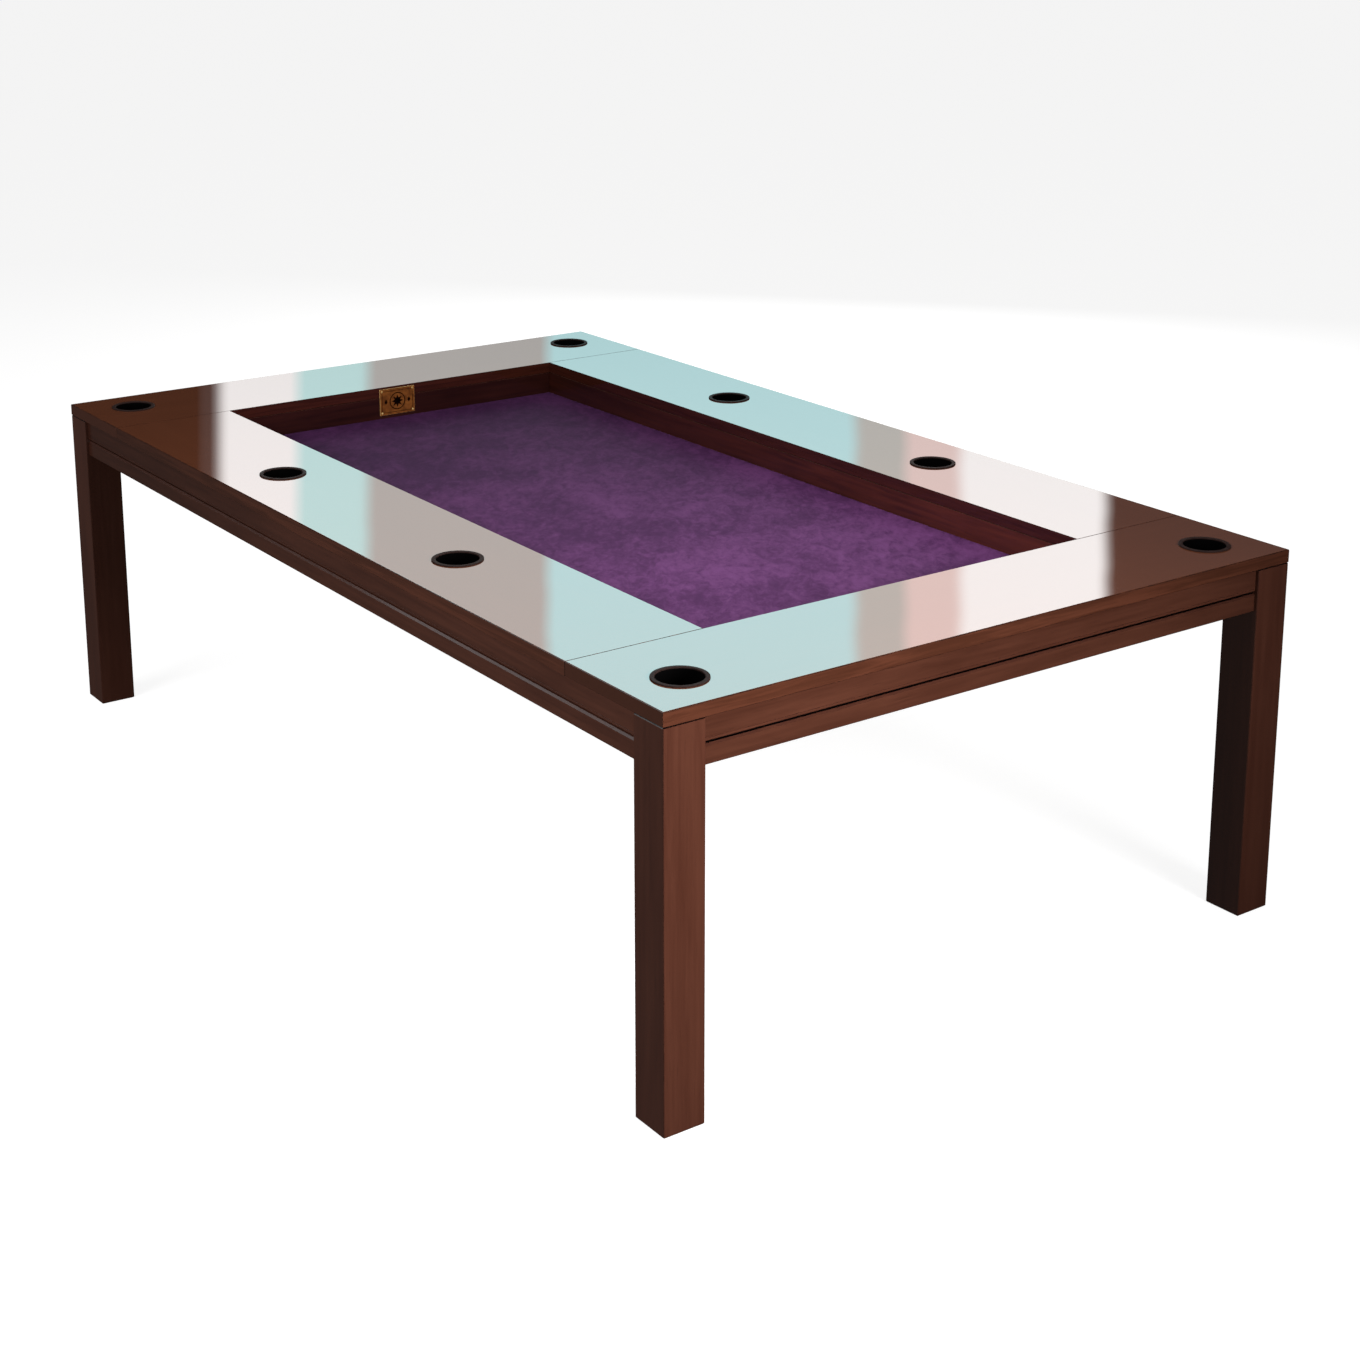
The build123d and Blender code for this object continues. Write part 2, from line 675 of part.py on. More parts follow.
with BuildPart() as plaque_screws:
    heads = [Plane(origin=(-VAULT_X + PLAQUE_T, y, z), z_dir=(1, 0, 0)) for y, z in plaque_screw_points()]
    for head in heads:
        with BuildSketch(head):
            Circle(PLAQUE_HEAD_R)
        extrude(amount=PLAQUE_HEAD_T)
        with BuildSketch(head):
            Circle(PLAQUE_SCREW_R)
        extrude(amount=PLAQUE_T - PLAQUE_SCREW_LENGTH)
    fillet(plaque_screws.faces().group_by(Axis.X)[-1].edges(), PLAQUE_HEAD_ROUND)
    for head in heads:
        with BuildSketch(head.offset(PLAQUE_HEAD_T - PLAQUE_SLOT_DEPTH)):
            Rectangle(2 * PLAQUE_HEAD_R, PLAQUE_SLOT_W)
        extrude(amount=PLAQUE_SLOT_DEPTH, mode=Mode.SUBTRACT)
save(plaque_screws, "plaque_screws")


# ---- cup inserts: turned cups with a rolled flange that rests on the border ----

CUP_AXES = [
    *side_cups(-1),
    corner_cups(1)[0],
    corner_cups(1)[1],
    *reversed(side_cups(1)),
    corner_cups(-1)[1],
    corner_cups(-1)[0],
]

for number, (x, y) in enumerate(CUP_AXES, start=1):
    with BuildPart() as cup:
        with BuildSketch(Plane(origin=(x, y, HEIGHT), x_dir=(1, 0, 0), z_dir=(0, -1, 0))) as section:
            with BuildLine():
                Polyline(
                    (0, -CUP_DEPTH),
                    (CUP_R, -CUP_DEPTH),
                    (CUP_R, 0),
                    (CUP_FLANGE_R, 0),
                    (CUP_FLANGE_R, CUP_FLANGE_T),
                    (CUP_BORE_R, CUP_FLANGE_T),
                    (CUP_BORE_R, CUP_BASE_T - CUP_DEPTH),
                    (0, CUP_BASE_T - CUP_DEPTH),
                    close=True,
                )
            make_face()
            fillet(section.vertices().group_by(Axis.Y)[-1], CUP_LIP)
            low_corners = section.vertices().filter_by(lambda v: v.X > 0 and v.Y < -CUP_DEPTH / 2)
            fillet(low_corners, CUP_BASE_ROUND)
        revolve(axis=Axis((x, y, 0), (0, 0, 1)))
    save(cup, f"cup_insert_{number}")
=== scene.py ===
import math

import bmesh
import bpy
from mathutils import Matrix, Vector, noise


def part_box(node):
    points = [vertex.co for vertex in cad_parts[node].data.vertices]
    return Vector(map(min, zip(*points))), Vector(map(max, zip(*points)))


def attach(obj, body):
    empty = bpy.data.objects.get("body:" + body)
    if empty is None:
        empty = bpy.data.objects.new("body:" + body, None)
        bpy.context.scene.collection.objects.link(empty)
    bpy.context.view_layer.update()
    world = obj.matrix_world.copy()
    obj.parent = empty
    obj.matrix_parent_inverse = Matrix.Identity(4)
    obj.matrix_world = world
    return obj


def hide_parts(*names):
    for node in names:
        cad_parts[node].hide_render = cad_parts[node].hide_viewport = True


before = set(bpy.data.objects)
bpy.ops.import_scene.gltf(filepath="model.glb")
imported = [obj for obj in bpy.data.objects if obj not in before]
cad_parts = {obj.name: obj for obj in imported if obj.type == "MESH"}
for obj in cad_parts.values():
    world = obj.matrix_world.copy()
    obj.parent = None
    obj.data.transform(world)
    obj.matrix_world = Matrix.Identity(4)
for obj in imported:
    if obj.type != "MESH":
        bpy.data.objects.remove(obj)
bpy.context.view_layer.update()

# ---- camera: a long view of the front right corner, from a little above the border ----
CAMERA_AT = (4.0874, -2.7256, 2.1074)
CAMERA_AZIMUTH = math.radians(54.512)
CAMERA_ELEVATION = math.radians(13.840)
CAMERA_LENS = 60.896  # mm, on a sensor 36 mm wide
CAMERA_SHIFT_Y = -0.20
FORWARD = Vector((-math.sin(CAMERA_AZIMUTH), math.cos(CAMERA_AZIMUTH), 0.0))  # in plan, the way it looks

# ---- cloth ----
NAP_WAVE = 0.00025  # height of the slow swells left by stretching the cloth by hand
BRUSH_TURN = math.radians(144)  # direction that the nap was brushed in
BRUSH_STRETCH = 1.7
LEFT_END_PAINTED_SHADE = (0.32, 0.26, 0.29, 1.0)  # painted shade: tint that the cloth's colour is multiplied by at its left end, which was seen darker
CLOTH_STEP = 0.0095  # spacing of the cloth's mesh
EDGE_STEPS = (0.0006, 0.0014, 0.0025, 0.004)  # its closer rows, measured in from the edges
EDGE_ROLL = 0.004  # width over which the cloth turns down along the walls
EDGE_DROP = 0.0006  # how far it turns down

# ---- shadow lines ----
GROOVE_HEIGHT = 0.0045  # between the apron's two bands
LEG_TOP_EDGE = 0.0014  # eased edge at the top of a leg

# ---- plaque ornament ----
RELIEF = 0.00045
RING = (0.0225, 0.0200)  # outer and inner radius
STAR = (0.0175, 0.0085)
STAR_POINTS = 8
LOZENGE = (0.0075, 0.0045)  # half its length and half its height
LOZENGE_OUT = 0.0330  # from the plaque's middle
FRAME_LINE = ((0.0440, 0.0280), (0.0430, 0.0270))  # half width and half height, outside and inside


# ======== small helpers ========


def link(obj):
    """Puts a new object in the scene and returns it."""
    bpy.context.scene.collection.objects.link(obj)
    return obj


def mesh_object(name, bm):
    """A new object made from a bmesh, which is freed."""
    mesh = bpy.data.meshes.new(name)
    bm.to_mesh(mesh)
    bm.free()
    return link(bpy.data.objects.new(name, mesh))


def dress(obj, material):
    """Gives an object one material in all its slots."""
    if not obj.material_slots:
        obj.data.materials.append(material)
    for slot in obj.material_slots:
        slot.material = material


class Shader:
    """A node material under construction: a Principled shader with short ways to add nodes."""

    def __init__(self, name, **values):
        self.material = bpy.data.materials.new(name)
        self.material.use_nodes = True
        tree = self.material.node_tree
        tree.nodes.clear()
        self.nodes, self.links = tree.nodes, tree.links
        self.bsdf = self.node("ShaderNodeBsdfPrincipled")
        output = self.node("ShaderNodeOutputMaterial")
        self.links.new(self.bsdf.outputs[0], output.inputs["Surface"])
        for socket, value in values.items():
            self.bsdf.inputs[socket.replace("_", " ")].default_value = value

    def node(self, kind, inputs=None, **settings):
        """Adds a node. Inputs are values or other nodes' sockets, by name or number."""
        node = self.nodes.new(kind)
        for key, value in settings.items():
            setattr(node, key, value)
        for key, value in (inputs or {}).items():
            if isinstance(value, bpy.types.NodeSocket):
                self.links.new(value, node.inputs[key])
            else:
                node.inputs[key].default_value = value
        return node

    def maths(self, operation, *values):
        """A Math node's result."""
        return self.node("ShaderNodeMath", dict(enumerate(values)), operation=operation).outputs[0]

    def vector(self, operation, *values):
        """A Vector Math node's vector result."""
        return self.node("ShaderNodeVectorMath", dict(enumerate(values)), operation=operation).outputs[0]

    def noise(self, coords, scale, detail=4.0, roughness=0.5, distortion=0.0):
        """A noise value of about 0 to 1."""
        inputs = {"Vector": coords, "Scale": scale, "Detail": detail}
        inputs.update({"Roughness": roughness, "Distortion": distortion})
        return self.node("ShaderNodeTexNoise", inputs).outputs["Fac"]

    def remap(self, value, low, high, to_low=0.0, to_high=1.0):
        """A value mapped from one range to another, clamped."""
        inputs = {"Value": value, "From Min": low, "From Max": high, "To Min": to_low, "To Max": to_high}
        return self.node("ShaderNodeMapRange", inputs, interpolation_type="SMOOTHSTEP").outputs[0]

    def mix(self, amount, a, b, blend="MIX"):
        """Two colours mixed by an amount."""
        node = self.node("ShaderNodeMix", data_type="RGBA", blend_type=blend)
        for key, kind, value in (("Factor", "VALUE", amount), ("A", "RGBA", a), ("B", "RGBA", b)):
            socket = next(s for s in node.inputs if s.name == key and s.type == kind)
            if isinstance(value, bpy.types.NodeSocket):
                self.links.new(value, socket)
            else:
                socket.default_value = value
        return next(s for s in node.outputs if s.type == "RGBA")

    def to(self, socket, value):
        """Links a value to one of the shader's sockets."""
        self.links.new(value, self.bsdf.inputs[socket])

    def bump(self, height, distance, strength=1.0):
        """Surface relief on the shader from a height value."""
        node = self.node("ShaderNodeBump", {"Height": height, "Distance": distance, "Strength": strength})
        self.to("Normal", node.outputs[0])

    def texture_coords(self, kind):
        """A Texture Coordinate output: Object is a point in the table's frame, Normal is a face's normal."""
        return self.node("ShaderNodeTexCoord").outputs[kind]

    def split(self, vector):
        """A vector's X, Y and Z parts."""
        return self.node("ShaderNodeSeparateXYZ", {0: vector}).outputs

    def coords(self):
        """Object coordinates, moved by a different amount on each object so no two boards match."""
        number = self.node("ShaderNodeObjectInfo").outputs["Random"]
        shift = self.node("ShaderNodeVectorMath", {0: BOARD_SHIFT, "Scale": number}, operation="SCALE")
        return self.vector("ADD", self.texture_coords("Object"), shift.outputs[0])

    def position(self, axis):
        """How far along one axis of the table's frame a point is, in metres."""
        return self.split(self.texture_coords("Object"))[axis]

    def normal_part(self, axis):
        """How far a face turns along an axis, from 0 to 1."""
        return self.split(self.vector("ABSOLUTE", self.texture_coords("Normal")))[axis]

    def within_vault(self):
        """1 inside the vault's outline and 0 outside it."""
        parts = self.split(self.vector("ABSOLUTE", self.texture_coords("Object")))
        half_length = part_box("top_side_board_front")[1].x
        half_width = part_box("top_side_board_back")[0].y
        across = self.maths("LESS_THAN", parts[0], half_length + OUTLINE_MARGIN)
        deep = self.maths("LESS_THAN", parts[1], half_width + OUTLINE_MARGIN)
        return self.maths("MULTIPLY", across, deep)

    def arris(self, low=0.90, high=0.995):
        """1 on rounded or chamfered edges, whose normals lie between the axes, and 0 on flat faces."""
        parts = self.split(self.vector("ABSOLUTE", self.texture_coords("Normal")))
        largest = self.maths("MAXIMUM", self.maths("MAXIMUM", parts[0], parts[1]), parts[2])
        return self.remap(largest, low, high, 1.0, 0.0)


# ======== materials ========

BOARD_SHIFT = (37.0, 53.0, 71.0)  # how far the figure moves from one object to the next
OUTLINE_MARGIN = 0.001
EVEN = (1.0, 1.0)  # no painted light or shade from end to end
VAULT_PAINTED_SHADE = (0.34, 0.25, 0.32)  # painted shade: tint of the boards' upright faces inside the vault, darker against their tops
MEAN_TONE = 0.585
PLY = 0.0014  # thickness of a veneer in the plywood
PAINTED_SHADOW_BLUR = 0.0003  # height over which the painted shadow turns black at a groove
GRAIN_STRETCH = {"X": (0.045, 1.0, 1.0), "Y": (1.0, 0.045, 1.0), "Z": (1.0, 1.0, 0.045)}
BLOTCH_STRETCH = {"X": (0.35, 1.0, 1.0), "Y": (1.0, 0.35, 1.0), "Z": (1.0, 1.0, 0.35)}


def figure(s, grain):
    """The figure of wood: its streaks, its pores, and a tone that mixes streaks with slow changes."""
    along = s.vector("MULTIPLY", s.coords(), GRAIN_STRETCH[grain])
    drift = s.noise(along, 5.0, detail=2.0, distortion=0.4)
    streaks = s.noise(along, 110.0, detail=5.0, roughness=0.60, distortion=0.5)
    fibres = s.noise(along, 420.0, detail=3.0, roughness=0.6)
    rings = s.maths("SINE", s.maths("MULTIPLY", drift, 95.0))
    rings = s.remap(rings, -1.0, 1.0)
    broad = s.vector("MULTIPLY", s.coords(), BLOTCH_STRETCH[grain])
    blotches = s.noise(broad, 9.0, detail=3.0, roughness=0.55)
    tone = s.maths("MULTIPLY_ADD", streaks, 0.50, s.maths("MULTIPLY", rings, 0.07))
    tone = s.maths("MULTIPLY_ADD", drift, 0.25, tone)
    tone = s.maths("MULTIPLY_ADD", blotches, 0.35, tone)
    return streaks, s.remap(fibres, 0.60, 0.72), tone


def wood(
    name, grain, dark, light, contrast=1.0, relief=0.00012, edge=None, side=None, painted_shadow_from=None, painted_light_ramp=EVEN,
    **values,
):
    """Stained and lacquered wood. Grain is the axis that the fibres run along, edge the colour painted on
    rounded edges as their shade, side a tint painted on upright faces as shade, darker still inside the
    vault, groove a height from which the colour is painted black as shadow, and fade the painted light and
    shade that sets the colour's strength at the table's left and right ends. With a side tint, only upright
    faces take it."""
    s = Shader(f"{name}_{grain}", **values)
    streaks, pores, tone = figure(s, grain)
    spread = 0.30 / contrast
    tone = s.remap(tone, MEAN_TONE - spread, MEAN_TONE + spread)
    colour = s.mix(tone, (*dark, 1.0), (*light, 1.0))
    colour = s.mix(s.maths("MULTIPLY", pores, 0.30 * contrast), colour, (*[c * 0.35 for c in dark], 1.0))
    # painted light and shade: the colour's strength ramps between the table's left and right ends
    low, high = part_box("vault_floor_panel")
    strength = s.remap(s.position(0), low.x, high.x, *painted_light_ramp)
    if side:
        upright = s.remap(s.normal_part(2), 0.80, 0.98, 1.0, 0.0)
        long_grain = s.remap(s.normal_part("XYZ".index(grain)), 0.5, 0.9, 1.0, 0.0)
        # painted shade: upright faces inside the vault take a darker tint than those outside
        tint = s.mix(s.within_vault(), (*side, 1.0), (*VAULT_PAINTED_SHADE, 1.0))
        tint = s.mix(long_grain, tint, s.remap(streaks, 0.36, 0.64, 0.80, 1.20), "MULTIPLY")
        tint = s.mix(1.0, tint, strength, "MULTIPLY")
        colour = s.mix(upright, colour, s.mix(1.0, colour, tint, "MULTIPLY"))
    else:
        colour = s.mix(1.0, colour, strength, "MULTIPLY")
    if edge:
        # painted shade: rounded edges take the edge colour, in patches
        patchy_edge_shade = s.remap(s.noise(s.coords(), 35.0), 0.30, 0.65, 0.45, 1.0)
        colour = s.mix(s.maths("MULTIPLY", s.arris(), patchy_edge_shade), colour, (*edge, 1.0))
    # painted shadow: above the given height the colour is painted black
    if painted_shadow_from:
        shadow = s.remap(s.position(2), painted_shadow_from - PAINTED_SHADOW_BLUR, painted_shadow_from)
        colour = s.mix(shadow, colour, (0.002, 0.001, 0.001, 1.0))
    s.to("Base Color", colour)
    base = values["Roughness"]
    s.to("Roughness", s.remap(streaks, 0.3, 0.7, base - 0.04, base + 0.06))
    s.bump(s.maths("SUBTRACT", streaks, s.maths("MULTIPLY", pores, 0.8)), relief)
    return s.material


def lacquered_top(grain, painted_light_ramp):
    """The border boards: dark mahogany under a polished, mirror-like lacquer."""
    return wood(
        "border_lacquer", grain, (0.100, 0.0300, 0.0125), (0.140, 0.0440, 0.0200), contrast=0.4,
        # painted shade: the side tint makes the upright faces darker than the tops, and the edge colour
        # darkens the rounded edges
        relief=0.00003, edge=(0.026, 0.010, 0.007), side=(0.58, 0.60, 0.74), painted_light_ramp=painted_light_ramp, Roughness=0.5,
        Specular_IOR_Level=0.0, Coat_Weight=1.0, Coat_Roughness=0.035,
    )


def satin_mahogany(name, grain, dark, light, contrast=0.8, painted_shadow_from=None, painted_light_ramp=EVEN):
    """Aprons, legs and vault walls: mahogany stain under a satin lacquer."""
    return wood(
        # painted shade: the edge colour on rounded edges
        name, grain, dark, light, contrast, edge=(0.050, 0.016, 0.010), painted_shadow_from=painted_shadow_from, painted_light_ramp=painted_light_ramp,
        Roughness=0.38, Specular_IOR_Level=0.35, Coat_Weight=0.35, Coat_Roughness=0.12,
    )


def bare_wood(name, grain, dark, light):
    """Unfinished softwood for the hidden frame."""
    return wood(name, grain, dark, light, contrast=1.1, relief=0.0002, Roughness=0.62)


def plywood():
    """Birch plywood: pale faces with soft figure, and thin dark glue lines round its edges."""
    s = Shader("plywood", Roughness=0.6)
    veneer = s.noise(s.vector("MULTIPLY", s.coords(), (0.08, 1.0, 1.0)), 24.0, detail=4.0, distortion=0.8)
    colour = s.mix(s.remap(veneer, 0.3, 0.7), (0.50, 0.33, 0.18, 1.0), (0.62, 0.45, 0.27, 1.0))
    plies = s.maths("SINE", s.maths("MULTIPLY", s.position(2), 2 * math.pi / PLY))
    colour = s.mix(s.remap(plies, 0.2, 1.0, 0.0, 0.35), colour, (0.30, 0.17, 0.08, 1.0))
    s.to("Base Color", colour)
    s.bump(veneer, 0.0002)
    return s.material


def foam():
    """Closed-cell foam: dark, matt, finely pitted."""
    s = Shader("foam", Roughness=0.85)
    cells = s.node("ShaderNodeTexVoronoi", {"Vector": s.coords(), "Scale": 900.0}).outputs["Distance"]
    s.to("Base Color", s.mix(cells, (0.010, 0.010, 0.012, 1.0), (0.022, 0.022, 0.026, 1.0)))
    s.bump(cells, 0.0002)
    return s.material


def suede():
    """Brushed purple microsuede, with the nap lying this way and that in clouds and hand strokes."""
    s = Shader(
        "purple_suede", Roughness=0.85, Sheen_Weight=0.05, Sheen_Roughness=0.45,
        Sheen_Tint=(0.60, 0.30, 0.80, 1.0), Specular_IOR_Level=0.05,
    )
    place = s.coords()
    brushing = {"Vector": place, "Rotation": (0.0, 0.0, BRUSH_TURN), "Scale": (BRUSH_STRETCH, 1.0, 1.0)}
    brushed_place = s.node("ShaderNodeMapping", brushing, vector_type="TEXTURE").outputs[0]
    clouds = s.noise(place, 3.0, detail=5.0, roughness=0.55, distortion=0.6)
    strokes = s.noise(brushed_place, 17.0, detail=6.0, roughness=0.66, distortion=1.0)
    patches = s.noise(brushed_place, 62.0, detail=4.0, roughness=0.62, distortion=0.6)
    fuzz = s.noise(place, 900.0, detail=2.0)
    nap = s.maths("MULTIPLY_ADD", clouds, 0.36, s.maths("MULTIPLY", strokes, 0.36))
    nap = s.maths("MULTIPLY_ADD", patches, 0.28, nap)
    colour = s.mix(s.remap(nap, 0.38, 0.64), (0.092, 0.0260, 0.098, 1.0), (0.212, 0.0680, 0.224, 1.0))
    # painted shade: towards the cloth's left end its colour is multiplied by a darker tint, easing off to
    # none at the right end
    low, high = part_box("play_surface_cloth")
    towards_right = s.remap(s.position(0), low.x, high.x)
    colour = s.mix(towards_right, s.mix(1.0, colour, LEFT_END_PAINTED_SHADE, "MULTIPLY"), colour)
    colour = s.mix(s.remap(fuzz, 0.35, 0.75, 0.0, 0.30), colour, (0.030, 0.011, 0.048, 1.0))
    s.to("Base Color", colour)
    s.bump(s.maths("MULTIPLY_ADD", fuzz, 0.6, s.maths("MULTIPLY", patches, 0.4)), 0.0006, 0.5)
    return s.material


def brass(name, dark, light, metallic=1.0, roughness=0.32):
    """Aged brass: mottled tarnish, and brighter along the edges."""
    s = Shader(name, Metallic=metallic)
    stain = s.noise(s.coords(), 55.0, detail=6.0, roughness=0.65, distortion=0.6)
    colour = s.mix(s.remap(stain, 0.32, 0.68), (*dark, 1.0), (*light, 1.0))
    colour = s.mix(s.maths("MULTIPLY", s.arris(), 0.8), colour, (0.80, 0.55, 0.22, 1.0))
    s.to("Base Color", colour)
    s.to("Roughness", s.remap(stain, 0.3, 0.7, roughness, roughness + 0.22))
    s.bump(stain, 0.0001)
    return s.material


def cup_bronze():
    """The cup inserts: a dark bronze colour on the flange, satin, and black from there down the well: a
    black insert, darkened almost to nothing as painted shade of the deep well.
    """
    s = Shader("cup_bronze", Metallic=0.0, IOR=1.12, Specular_IOR_Level=0.06)
    place = s.coords()
    cloud = s.noise(place, 60.0, detail=4.0)
    bronze = s.mix(cloud, (0.017, 0.0090, 0.0078, 1.0), (0.034, 0.0200, 0.0180, 1.0))
    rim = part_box("top_side_board_front")[1].z
    on_rim = s.remap(s.position(2), rim - 0.001, rim + 0.001)
    # painted shade: below the flange the well is almost black, a black insert darkened further as shade
    s.to("Base Color", s.mix(on_rim, (0.0015, 0.0014, 0.0014, 1.0), bronze))
    fine = s.noise(place, 1400.0, detail=2.0)
    s.to("Roughness", s.remap(cloud, 0.3, 0.7, 0.34, 0.46))
    s.bump(fine, 0.00003)
    return s.material


def plain_metal(name, dark, light, metallic, roughness):
    """Zinc plate or black powder coat on the hidden hardware."""
    s = Shader(name, Metallic=metallic)
    grain = s.noise(s.coords(), 800.0, detail=3.0)
    s.to("Base Color", s.mix(grain, (*dark, 1.0), (*light, 1.0)))
    s.to("Roughness", s.remap(grain, 0.3, 0.7, roughness - 0.06, roughness + 0.06))
    s.bump(grain, 0.00006)
    return s.material


# ======== finishes on the CAD nodes ========


def finish_nodes():
    """Gives each CAD node its material, with the grain along the piece."""
    # painted light and shade: the long pieces' colour is weaker at the table's left end and stronger at its
    # right
    painted_light_right = {"X": (0.85, 1.45), "Y": EVEN}
    top = {axis: lacquered_top(axis, painted_light_right[axis]) for axis in "XY"}
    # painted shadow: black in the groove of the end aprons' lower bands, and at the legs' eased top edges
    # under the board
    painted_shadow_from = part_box("upper_apron_front")[0].z - GROOVE_HEIGHT
    apron_stain = ((0.036, 0.0108, 0.0062), (0.092, 0.031, 0.0180))
    apron = {a: satin_mahogany("apron_wood", a, *apron_stain, painted_light_ramp=painted_light_right[a]) for a in "XY"}
    lower = {
        "X": satin_mahogany("lower_apron_wood", "X", *apron_stain, painted_light_ramp=painted_light_right["X"]),
        "Y": satin_mahogany("lower_apron_wood", "Y", *apron_stain, painted_shadow_from=painted_shadow_from),
    }
    leg_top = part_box("leg_front_right")[1].z
    leg = satin_mahogany(
        "leg_wood", "Z", (0.046, 0.0136, 0.0080), (0.098, 0.0335, 0.0200), contrast=0.7,
        painted_shadow_from=leg_top - LEG_TOP_EDGE,
    )
    long_wall = ((0.028, 0.0065, 0.0040), (0.098, 0.0205, 0.0105))
    # painted shade: the end walls take a far darker stain than the long walls
    end_wall_painted_shade = ((0.011, 0.0028, 0.0022), (0.038, 0.0088, 0.0060))
    wall = {
        # painted light and shade: the long walls' colour ramps from dark at the left end to bright at the
        # right
        "X": satin_mahogany("vault_wood", "X", *long_wall, contrast=1.3, painted_light_ramp=(0.45, 1.45)),
        "Y": satin_mahogany("vault_wood", "Y", *end_wall_painted_shade, contrast=1.3),
    }
    frame_wood = {a: bare_wood("frame_wood", a, (0.36, 0.22, 0.11), (0.56, 0.38, 0.21)) for a in "XY"}
    zinc = plain_metal("zinc_steel", (0.42, 0.43, 0.45), (0.58, 0.59, 0.61), 1.0, 0.34)
    powder = plain_metal("bracket_steel", (0.012, 0.012, 0.012), (0.020, 0.020, 0.020), 0.0, 0.45)
    plate = brass("brass", (0.145, 0.044, 0.009), (0.31, 0.102, 0.021), metallic=0.25)
    bright = brass("brass_screw", (0.60, 0.38, 0.13), (0.85, 0.60, 0.26), metallic=0.3, roughness=0.22)
    single = {
        "play_surface_foam": foam(),
        "vault_floor_panel": plywood(),
        "plaque": plate,
        "plaque_screws": bright,
        "board_dowels": frame_wood["X"],
    }
    cup = cup_bronze()
    for name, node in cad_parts.items():
        low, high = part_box(name)
        axis = "X" if high.x - low.x > high.y - low.y else "Y"
        if name in single:
            material = single[name]
        elif name.startswith("top_"):
            material = top[axis]
        elif "apron" in name:
            material = (lower if "lower" in name else apron)[axis]
        elif name.startswith("leg_"):
            material = leg
        elif name.startswith("vault_wall"):
            material = wall[axis]
        elif name.startswith(("ledger", "cross_bearer", "rib")):
            material = frame_wood[axis]
        elif name.startswith("corner_bracket"):
            material = powder
        elif name.startswith("cup_insert"):
            material = cup
        elif name == "play_surface_cloth":
            continue
        else:
            material = zinc
        dress(node, material)


# ======== the cloth ========


def spaced(low, high, step, margins):
    """Positions from low to high: evenly spaced, with extra ones close to both ends."""
    count = round((high - low) / step)
    inner = [low + (high - low) * i / count for i in range(1, count)]
    return [low, *[low + m for m in margins], *inner, *[high - m for m in reversed(margins)], high]


def cloth_height(x, y, low, high):
    """Top surface's height: slow swells, turned down along the edges."""
    edge = min(x - low.x, high.x - x, y - low.y, high.y - y)
    roll = max(0.0, 1.0 - edge / EDGE_ROLL) ** 2
    broad = noise.noise(Vector((x * 5.0, y * 5.0, 0.7)))
    small = noise.noise(Vector((x * 17.0, y * 17.0, 3.1)))
    return high.z + NAP_WAVE * (broad + 0.4 * small - 1.0) - EDGE_DROP * roll


def make_cloth():
    """The stretched cloth: one closed thin sheet over the foam."""
    low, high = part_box("play_surface_cloth")
    xs = spaced(low.x, high.x, CLOTH_STEP, EDGE_STEPS)
    ys = spaced(low.y, high.y, CLOTH_STEP, EDGE_STEPS)
    bm = bmesh.new()
    upper = [[bm.verts.new((x, y, cloth_height(x, y, low, high))) for y in ys] for x in xs]
    lower = [[bm.verts.new((x, y, low.z)) for y in ys] for x in xs]
    for i in range(len(xs) - 1):
        for j in range(len(ys) - 1):
            bm.faces.new((upper[i][j], upper[i + 1][j], upper[i + 1][j + 1], upper[i][j + 1]))
            bm.faces.new((lower[i][j], lower[i][j + 1], lower[i + 1][j + 1], lower[i + 1][j]))
    for i in range(len(xs) - 1):
        bm.faces.new((upper[i][0], lower[i][0], lower[i + 1][0], upper[i + 1][0]))
        bm.faces.new((upper[i][-1], upper[i + 1][-1], lower[i + 1][-1], lower[i][-1]))
    for j in range(len(ys) - 1):
        bm.faces.new((upper[0][j], upper[0][j + 1], lower[0][j + 1], lower[0][j]))
        bm.faces.new((upper[-1][j], lower[-1][j], lower[-1][j + 1], upper[-1][j + 1]))
    for face in bm.faces:
        face.smooth = True
    cloth = mesh_object("vault_cloth", bm)
    dress(cloth, suede())
    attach(cloth, "table")
    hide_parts("play_surface_cloth")
    return cloth


# ======== the plaque's ornament ========


def raised(bm, outline, hole=None):
    """Adds a flat raised shape to a bmesh: an outline in the plaque's Y and Z, with an optional hole."""
    loops = [outline] if hole is None else [outline, hole]
    back = [[bm.verts.new((0.0, y, z)) for y, z in loop] for loop in loops]
    front = [[bm.verts.new((RELIEF, y, z)) for y, z in loop] for loop in loops]
    for b, f, sign in zip(back, front, (1, -1)):
        n = len(b)
        for i in range(n):
            k = (i + 1) % n
            quad = (b[i], b[k], f[k], f[i]) if sign > 0 else (b[k], b[i], f[i], f[k])
            bm.faces.new(quad)
    if hole is None:
        bm.faces.new(front[0])
        bm.faces.new(list(reversed(back[0])))
    else:
        n = len(outline)
        for i in range(n):
            k = (i + 1) % n
            bm.faces.new((front[0][i], front[0][k], front[1][k], front[1][i]))
            bm.faces.new((back[0][k], back[0][i], back[1][i], back[1][k]))


def circle(y, z, radius, count=64):
    """Points round a circle."""
    turns = [2 * math.pi * i / count for i in range(count)]
    return [(y + radius * math.sin(turn), z + radius * math.cos(turn)) for turn in turns]


def star(y, z, outer, inner, points):
    """Points round a star."""
    corners = [(math.pi * i / points, inner if i % 2 else outer) for i in range(2 * points)]
    return [(y + radius * math.sin(turn), z + radius * math.cos(turn)) for turn, radius in corners]


